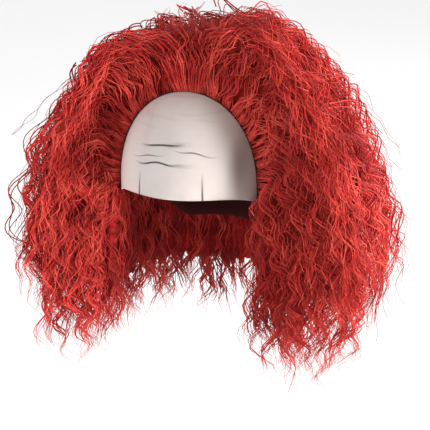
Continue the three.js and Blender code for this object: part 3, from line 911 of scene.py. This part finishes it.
def growLocks(group, random):
    # each lock is a bundle of strands that share a path, a crimp and a wander. A strand is
    # path + side * (offset + wander + crimp) + out * (offset + part of the crimp)
    form = strandForm
    perLock, atTape = group["strands"], group["atTape"]
    each = {key: np.repeat(value, perLock) for key, value in pickLocks(group, random).items()}
    azimuth, tight, fill = each["azimuth"], each["tight"][:, None], each["fill"][:, None]
    forLocks, forStrands = drawers(random, group["locks"], perLock)

    scatter = forStrands(-form["rootScatter"], form["rootScatter"])[:, 0]
    root = np.clip(each["root"] + scatter, 0, 1)
    rise = form["rootRise"] if atTape else 0.0
    curve = smoothPath(strandGuide(azimuth, root, each["depth"], each["reachOn"], rise, each["flare"]))
    whole = np.linalg.norm(np.diff(curve, axis=1), axis=-1).sum(axis=1, keepdims=True)
    end = forStrands(0.92, 1.02)
    fromRoot = group["start"][1] == 0
    share = pointShares(each["start"][:, None], end, whole, group["points"], fromRoot)
    path, run, side, out = laid(curve, azimuth, share)

    crimped = smoothStep(run, forLocks(*form["straight"]), forLocks(*form["crimped"]))
    wave = 2 * np.pi * run / forLocks(*group["crimp"]) + forLocks(0, 6.28) + forStrands(-0.6, 0.6)
    swing = forLocks(*group["swing"]) * forStrands(0.65, 1.35) * crimped
    wander = 2 * np.pi * run / forLocks(*form["lockWander"]) + forLocks(0, 6.28)
    drift = form["wander"] * crimped * np.sin(wander)
    wander = 2 * np.pi * run / forStrands(*form["strandWander"]) + forStrands(0, 6.28)
    lean = form["wander"] * 0.5 * crimped * np.sin(wander)
    crossing = np.sin(np.pi * np.clip(run / form["splayRun"] / 3, 0, 1))
    splay = forLocks(-1, 1) * form["splay"] * form["splayRun"] * crossing

    # a lock is narrow at its root, widens, and gathers to a point
    spread = 0.35 + 0.65 * smoothStep(run, 0.012, 0.06)
    gathered = 1 - form["gather"] * smoothStep(share, *form["gatherAt"])
    turn = forStrands(0, 6.28)
    low, high = (np.where(tight, *pair) for pair in zip(form["tightLock"], form["looseLock"]))
    apart = forStrands(0, 1) ** 0.5 * (low + (high - low) * fill) * spread * gathered
    wide, high = group["waves"]
    loose = gathered if atTape else 1.0
    sideways = np.cos(turn) * apart + (drift + np.sin(wave) * swing) * wide + lean * 0.5 * loose
    outwards = (lean * loose + drift) * high * 0.7 + np.sin(wave + form["lag"]) * swing * high
    outwards = outwards + np.sin(turn) * apart * 0.8 + splay * atTape
    path = path + side * sideways[..., None] + out * outwards[..., None]
    path[..., 1] -= form["rootForward"] * atTape
    path = broughtForward(path, azimuth, share, each["bow"])

    half = np.where(tight, forStrands(*form["tightStrand"]), forStrands(*form["looseStrand"]))
    half = half * (1 - 0.8 * smoothStep(share / end, form["tipTaper"], 1.0))
    tone = np.clip(forLocks(*form["tone"]) + forStrands(-0.16, 0.16), 0, 1)
    return asLot(path, half, tone, share, azimuth, side)


def laid(curve, azimuth, share):
    # points along strands, the length run at each, the level way across the heading, and the
    # way outwards square to the strand
    path, length = alongPath(curve, share)
    side = aside(azimuth)[:, None, :]
    out = np.cross(unit(np.gradient(path, axis=1)), side)
    return path, share * length[:, None], side, out


def tubeFaces(lot, keep, sides=3):
    # a tapered tube round each path: rings of three points across it, quads between the rings
    # and a triangle at each end
    keys = ("path", "half", "tone", "share", "side")
    path, half, tone, share, across = (lot[key][keep] for key in keys)
    count, steps = path.shape[:2]
    along = unit(np.gradient(path, axis=1))
    out = unit(np.cross(along, across))
    side = np.cross(out, along)
    turn = 2 * np.pi * np.arange(sides) / sides + 0.5
    ring = np.cos(turn)[:, None] * side[:, :, None, :] + np.sin(turn)[:, None] * out[:, :, None, :]
    points = path[:, :, None, :] + ring * half[..., None, None]
    number = np.arange(count * steps * sides).reshape(count, steps, sides)
    nextOne = np.roll(number, -1, axis=2)
    quads = np.stack([number[:, :-1], nextOne[:, :-1], nextOne[:, 1:], number[:, 1:]], axis=-1)
    ends = np.concatenate([number[:, 0, ::-1], number[:, -1]])
    uv = np.repeat(np.stack([tone, share], axis=-1).reshape(-1, 2), sides, axis=0)
    return points.reshape(-1, 3), quads.reshape(-1, 4), uv, ends


def strandMesh(name, bundles):
    # several lots of tubes in one mesh
    used = np.cumsum([0] + [len(points) for points, quads, uv, ends in bundles])
    points, quads, uv, ends = zip(*bundles)
    quads = [quad + start for quad, start in zip(quads, used)]
    ends = [end + start for end, start in zip(ends, used)]
    return meshFrom(name, *(np.concatenate(parts) for parts in (points, quads, uv, ends)))


underhair = {
    "depth": 0.76,  # of the hair's own layers
    "length": 0.69,  # of the strands' own lengths
    "ridge": 0.0045,
    "crimp": 0.026,
    "bow": 0.009,
    "steps": 44,
    "front": (30, 34),  # facets round and from crown to rim
    "other": (36, 6),
    # sines added up: size, turns with azimuth and with root, share of the bend
    "ripples": ((0.03, 0.9, 7, 0), (0.03, 0.37, 19, 0), (0.02, 1.7, 11, 0)),
    "ridges": ((1.0, 2.1, 31, 1.0), (0.5, 3.3, -17, 1.7)),
    "edgeRidges": ((1.0, 0, 60, 1.0), (0.6, 0, 131, 1.4)),
}


def boxSurface(sizes):
    # the surface of a box cut into cells: whole-numbered places on its six faces, and quads
    places, quads, used = [], [], 0
    for low in (True, False):
        for fixed in range(3):
            free = [np.arange(size + 1) for axis, size in enumerate(sizes) if axis != fixed]
            face = list(np.meshgrid(*free, indexing="ij"))
            face.insert(fixed, np.full_like(face[0], 0 if low else sizes[fixed]))
            flat, quad = gridFaces(np.stack(face, axis=-1), flip=low != (fixed == 1))
            places.append(flat)
            quads.append(quad + used)
            used += len(flat)
    return np.concatenate(places), np.concatenate(quads)


def underhairMass(name, first, last, values, front):
    # a solid of hair: azimuth, root and length of strands as the three sides of a box. The
    # outside has ridges along the strands that wander and crimp as the locks over them do
    across, rows = values["front"] if front else values["other"]
    cells, quads = boxSurface((across, rows, values["steps"]))
    azimuth = first + (last - first) * cells[:, 0] / across
    root = cells[:, 1] / rows
    share = values["length"] * cells[:, 2] / values["steps"]

    def sines(rows, bend=0.0):
        return sum(size * np.sin(azimuth * a + root * r + bend * b) for size, a, r, b in rows)

    depth = values["depth"] * byAzimuth(azimuth, "fullness")
    guide = strandGuide(azimuth, root, depth, np.ones(len(azimuth)))
    ripple = 1 + sines(values["ripples"])
    point, length = alongPath(smoothPath(guide), (share * ripple)[:, None])
    point = point[:, 0]
    bend = 0.9 * np.sin(2 * np.pi * share * length / values["crimp"] + azimuth * 0.35)
    height = values["ridge"] * smoothStep(share, 0.0, 0.15)
    point = point + heading(azimuth) * (0.6 * height * sines(values["ridges"], bend))[:, None]
    if front:
        sign, face = (-1.0, 0) if first < 180 else (1.0, across)
        relief = 0.7 * height * sign * (cells[:, 0] == face) * sines(values["edgeRidges"], bend)
        point = point + aside(azimuth) * relief[:, None]
    point = broughtForward(point[:, None], azimuth, share[:, None], values["bow"])[:, 0]
    uv = np.stack([azimuth / 360 + root * 0.3, share], axis=-1)
    return welded(meshFrom(name, point, quads, uv))


tuft = {
    "locks": 22,
    "strands": 7,
    "points": 20,
    "rise": 0.080,
    "halfWidth": 0.0119,
    "rootLift": 0.0015,
    "spread": 15.0,  # degrees at the outermost locks
    "firstTilt": -4.6,
    "tiltRange": 15.0,
    "curl": 0.009,
    "crimp": 0.028,
    "crimped": (0.02, 0.05),
    "swing": (0.0050, 0.0030),  # sideways, forward
    "lockHalf": 0.0045,
    "strandHalf": (0.0005, 0.0008),
    "tone": (0.35, 0.85),
    "seed": 5,
}


def growTuft(values):
    # locks that stand up from the middle of the hairline: the foot, then a lean that grows
    # with height, and a forward bow
    random = np.random.default_rng(values["seed"])
    count, perLock = values["locks"], values["strands"]
    forLocks, forStrands = drawers(random, count, perLock)
    number = np.repeat(np.arange(count), perLock)[:, None]
    place = (number + 0.5) / count * 2 - 1
    rise = values["rise"] * forLocks(0.8, 1.04) * forStrands(0.85, 1.0)
    lean = math.tan(math.radians(values["spread"]))
    # every other lock stands at the very front, the others up to some degrees behind it
    tilt = values["firstTilt"] + values["tiltRange"] * forLocks(0, 1) * (number % 2)
    foot, ray = headPoint(180.0, tilt, headForm["capWall"] + values["rootLift"], hairForm["whorlY"])
    x = place * values["halfWidth"] + forStrands(-0.001, 0.001)
    share = np.linspace(0, 1, values["points"])[None, :]
    phase = forLocks(0, 6.28) + forStrands(-0.4, 0.4)
    run = share * rise
    wave = 2 * np.pi * run / values["crimp"] + phase
    narrowed = 1 - 0.6 * smoothStep(share, 0.7, 1.0)
    turn = forStrands(0, 6.28)
    far = forStrands(0, 1) ** 0.5 * values["lockHalf"] * (0.4 + smoothStep(run, 0.0, 0.04)) * narrowed
    wide, deep = (swing * smoothStep(run, *values["crimped"]) for swing in values["swing"])
    bow = values["curl"] * np.sin(np.pi * np.clip(share * 1.1, 0, 1))
    path = np.stack([
        x + place * lean * run + np.cos(turn) * far + wide * np.sin(wave),
        foot[..., 1] - bow + np.sin(turn) * far + deep * np.cos(wave),
        foot[..., 2] + run - 0.06 * np.abs(x),
    ], axis=-1)
    half = forStrands(*values["strandHalf"]) * (1 - 0.75 * smoothStep(share, 0.6, 1.0))
    tone = np.clip(forLocks(*values["tone"]) + forStrands(-0.2, 0.2), 0, 1)
    return asLot(path, half, tone, share, np.full(count * perLock, 180.0), (1.0, 0, 0))


looseHair = {
    "flyaways": 260,
    "points": 24,
    "half": (0.00018, 0.00034),
    "curl": (0.002, 0.007),
    "curlLength": (0.02, 0.045),
    "standOff": 0.024,
    "frizz": 3720,
    "frizzPoints": 5,
    "frizzHalf": 1.15,  # of a flyaway's
    "frizzCurl": (0.002, 0.006),
    "frizzTurns": (1.2, 2.6),
    "frizzLength": (0.07, 0.16),  # of a strand's length
    "beside": 0.5,  # share of the frizz on the face side
    "seed": 23,
}


def growLoose(values):
    # single hairs that leave the outer layer: the layer's own path, pushed outwards more and
    # more, with wide uneven curls
    random = np.random.default_rng(values["seed"])
    draw = drawers(random, values["flyaways"], 1)[1]
    azimuth = draw(hairForm["firstAzimuth"], hairForm["lastAzimuth"])[:, 0]
    root = draw(0, 0.5)[:, 0]
    guide = strandGuide(azimuth, root, draw(0.95, 1.03)[:, 0], draw(0.8, 1.1)[:, 0])
    start = draw(0.15, 0.7)
    end = np.minimum(start + draw(0.2, 0.45), 1.02)
    grown = np.linspace(0, 1, values["points"])[None, :]
    share = start + (end - start) * grown
    path, run, side, out = laid(smoothPath(guide), azimuth, share)
    stand = values["standOff"] * draw(-0.2, 1.0) * grown**1.3
    curl = draw(*values["curl"])
    wave = 2 * np.pi * run / draw(*values["curlLength"]) + draw(0, 6.28)
    path = path + out * (stand + curl * 0.6 * np.cos(wave) * grown)[..., None]
    path = path + side * (curl * np.sin(wave) + draw(-0.03, 0.03) * grown**2)[..., None]
    path = broughtForward(path, azimuth, share, hairForm["frontBow"])
    return asLot(path, draw(*values["half"]), draw(0, 0.5), share, azimuth, side)


def growFrizz(values):
    # short curled hairs over the outer layer, each a helix with a slow drift of its own
    random = np.random.default_rng(values["seed"] + 1)
    draw = drawers(random, values["frizz"], 1)[1]
    azimuth = draw(hairForm["firstAzimuth"], hairForm["lastAzimuth"])
    beside = draw(0, 1) < values["beside"]
    faceSide = np.where(draw(0, 1) < 0.5, hairForm["firstAzimuth"] + 0.5, hairForm["lastAzimuth"] - 0.5)
    azimuth = np.where(beside, faceSide, azimuth)[:, 0]
    root = np.where(beside, draw(0, 1), draw(0, 0.2))[:, 0]
    flare = np.where(beside, draw(0, 1), 0.0)[:, 0]
    depth = draw(0.8, 1.02)[:, 0] * byAzimuth(azimuth, "fullness")
    guide = strandGuide(azimuth, root, depth, np.ones(len(azimuth)), 0.0, flare)
    start = np.where(beside, draw(0.06, 0.7), draw(0.12, 0.85))
    grown = np.linspace(0, 1, values["frizzPoints"])[None, :]
    share = start + draw(*values["frizzLength"]) * grown
    path, run, side, out = laid(smoothPath(guide), azimuth, share)
    wave = 2 * np.pi * grown * draw(*values["frizzTurns"]) + draw(0, 6.28)
    size = draw(*values["frizzCurl"])
    path = path + side * (size * np.sin(wave) + draw(-0.022, 0.022) * grown)[..., None]
    path = path + out * (size * np.cos(wave) * 0.7 + draw(-0.012, 0.014) * grown)[..., None]
    path[..., 1] -= beside * draw(0.002, 0.012)
    path = broughtForward(path, azimuth, share, hairForm["frontBow"])
    half = draw(*values["half"]) * values["frizzHalf"]
    return asLot(path, half, draw(0.2, 1.0), share, azimuth, side)


# everything made and dressed
makeCamera(photoView)
makeStudio(studio)
print("camera and studio made")

fibreGroup = makeFibreGroup()
grainGroup = makeGrainGroup()
hairLook = hairMaterial(hairFinish, fibreGroup)
underhairLook = underhairMaterial(underhairShadedFinish, fibreGroup)
print("hair materials made")


def dress(piece, material, slotName, *nodes):
    # material, body and the nodes that the piece stands for; gives its triangles
    piece.data.materials.append(material)
    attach(piece, "root")
    if nodes:
        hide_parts(*nodes)
    triangles = len(piece.data.loops) - 2 * len(piece.data.polygons)
    print(piece.name, triangles, "triangles")
    return triangles


front = np.linspace(-90, 90, panel["columns"])
wall, seam = headForm["panelWall"], headForm["hairlineY"]
piece = headPatch("foreheadPanelSkin", front, panel["rows"], wall, seam)
look = panelMaterial(panel, grainGroup, makeCreaseGroup())
total = dress(piece, look, "forehead_panel", "forehead_panel")
back = np.linspace(90, 270, cap["columns"])
wall, seam = headForm["capWall"], seam + headForm["clearance"]
piece = headPatch("stretchCapNet", back, cap["rows"], wall, seam)
total += dress(piece, wovenMaterial("capNet", cap, grainGroup), "stretch_cap", "stretch_cap")
piece = makeTape(tape)
total += dress(piece, wovenMaterial("tapeWeave", tape, grainGroup), "hairline_tape", "hairline_tape")
print("cap made")

random = np.random.default_rng(strandForm["seed"])
grown = {name: growLocks({**lockCommon, **group}, random) for name, group in locks.items()}
grown["flyaway"] = growLoose(looseHair)
grown["frizz"] = growFrizz(looseHair)
pitch = (hairForm["lastAzimuth"] - hairForm["firstAzimuth"]) / 16
gap = 0.1  # degrees that an underhair mass keeps off its neighbours' edges
for node, ends in slots.items():
    first, last = (hairForm["firstAzimuth"] + pitch * end for end in ends)
    plain = node.replace("hair_", "").replace("_", "-")
    mass = underhairMass(plain + "-underhair", first + gap, last - gap, underhair, "front" in node)
    total += dress(mass, underhairLook, "hair", node)
    for ending in ("strands", "fan"):
        chosen = [lot for name, lot in grown.items() if (name == "fan") == (ending == "fan")]
        kept = [np.flatnonzero((lot["azimuth"] >= first) & (lot["azimuth"] < last)) for lot in chosen]
        bundles = [tubeFaces(lot, keep) for lot, keep in zip(chosen, kept) if len(keep)]
        if bundles:
            total += dress(strandMesh(plain + "-" + ending, bundles), hairLook, "hair")
standing = growTuft(tuft)
piece = strandMesh("tuft-strands", [tubeFaces(standing, np.arange(len(standing["path"])))])
total += dress(piece, hairLook, "hair", "hair_tuft")
print("hair made,", total, "triangles in all")
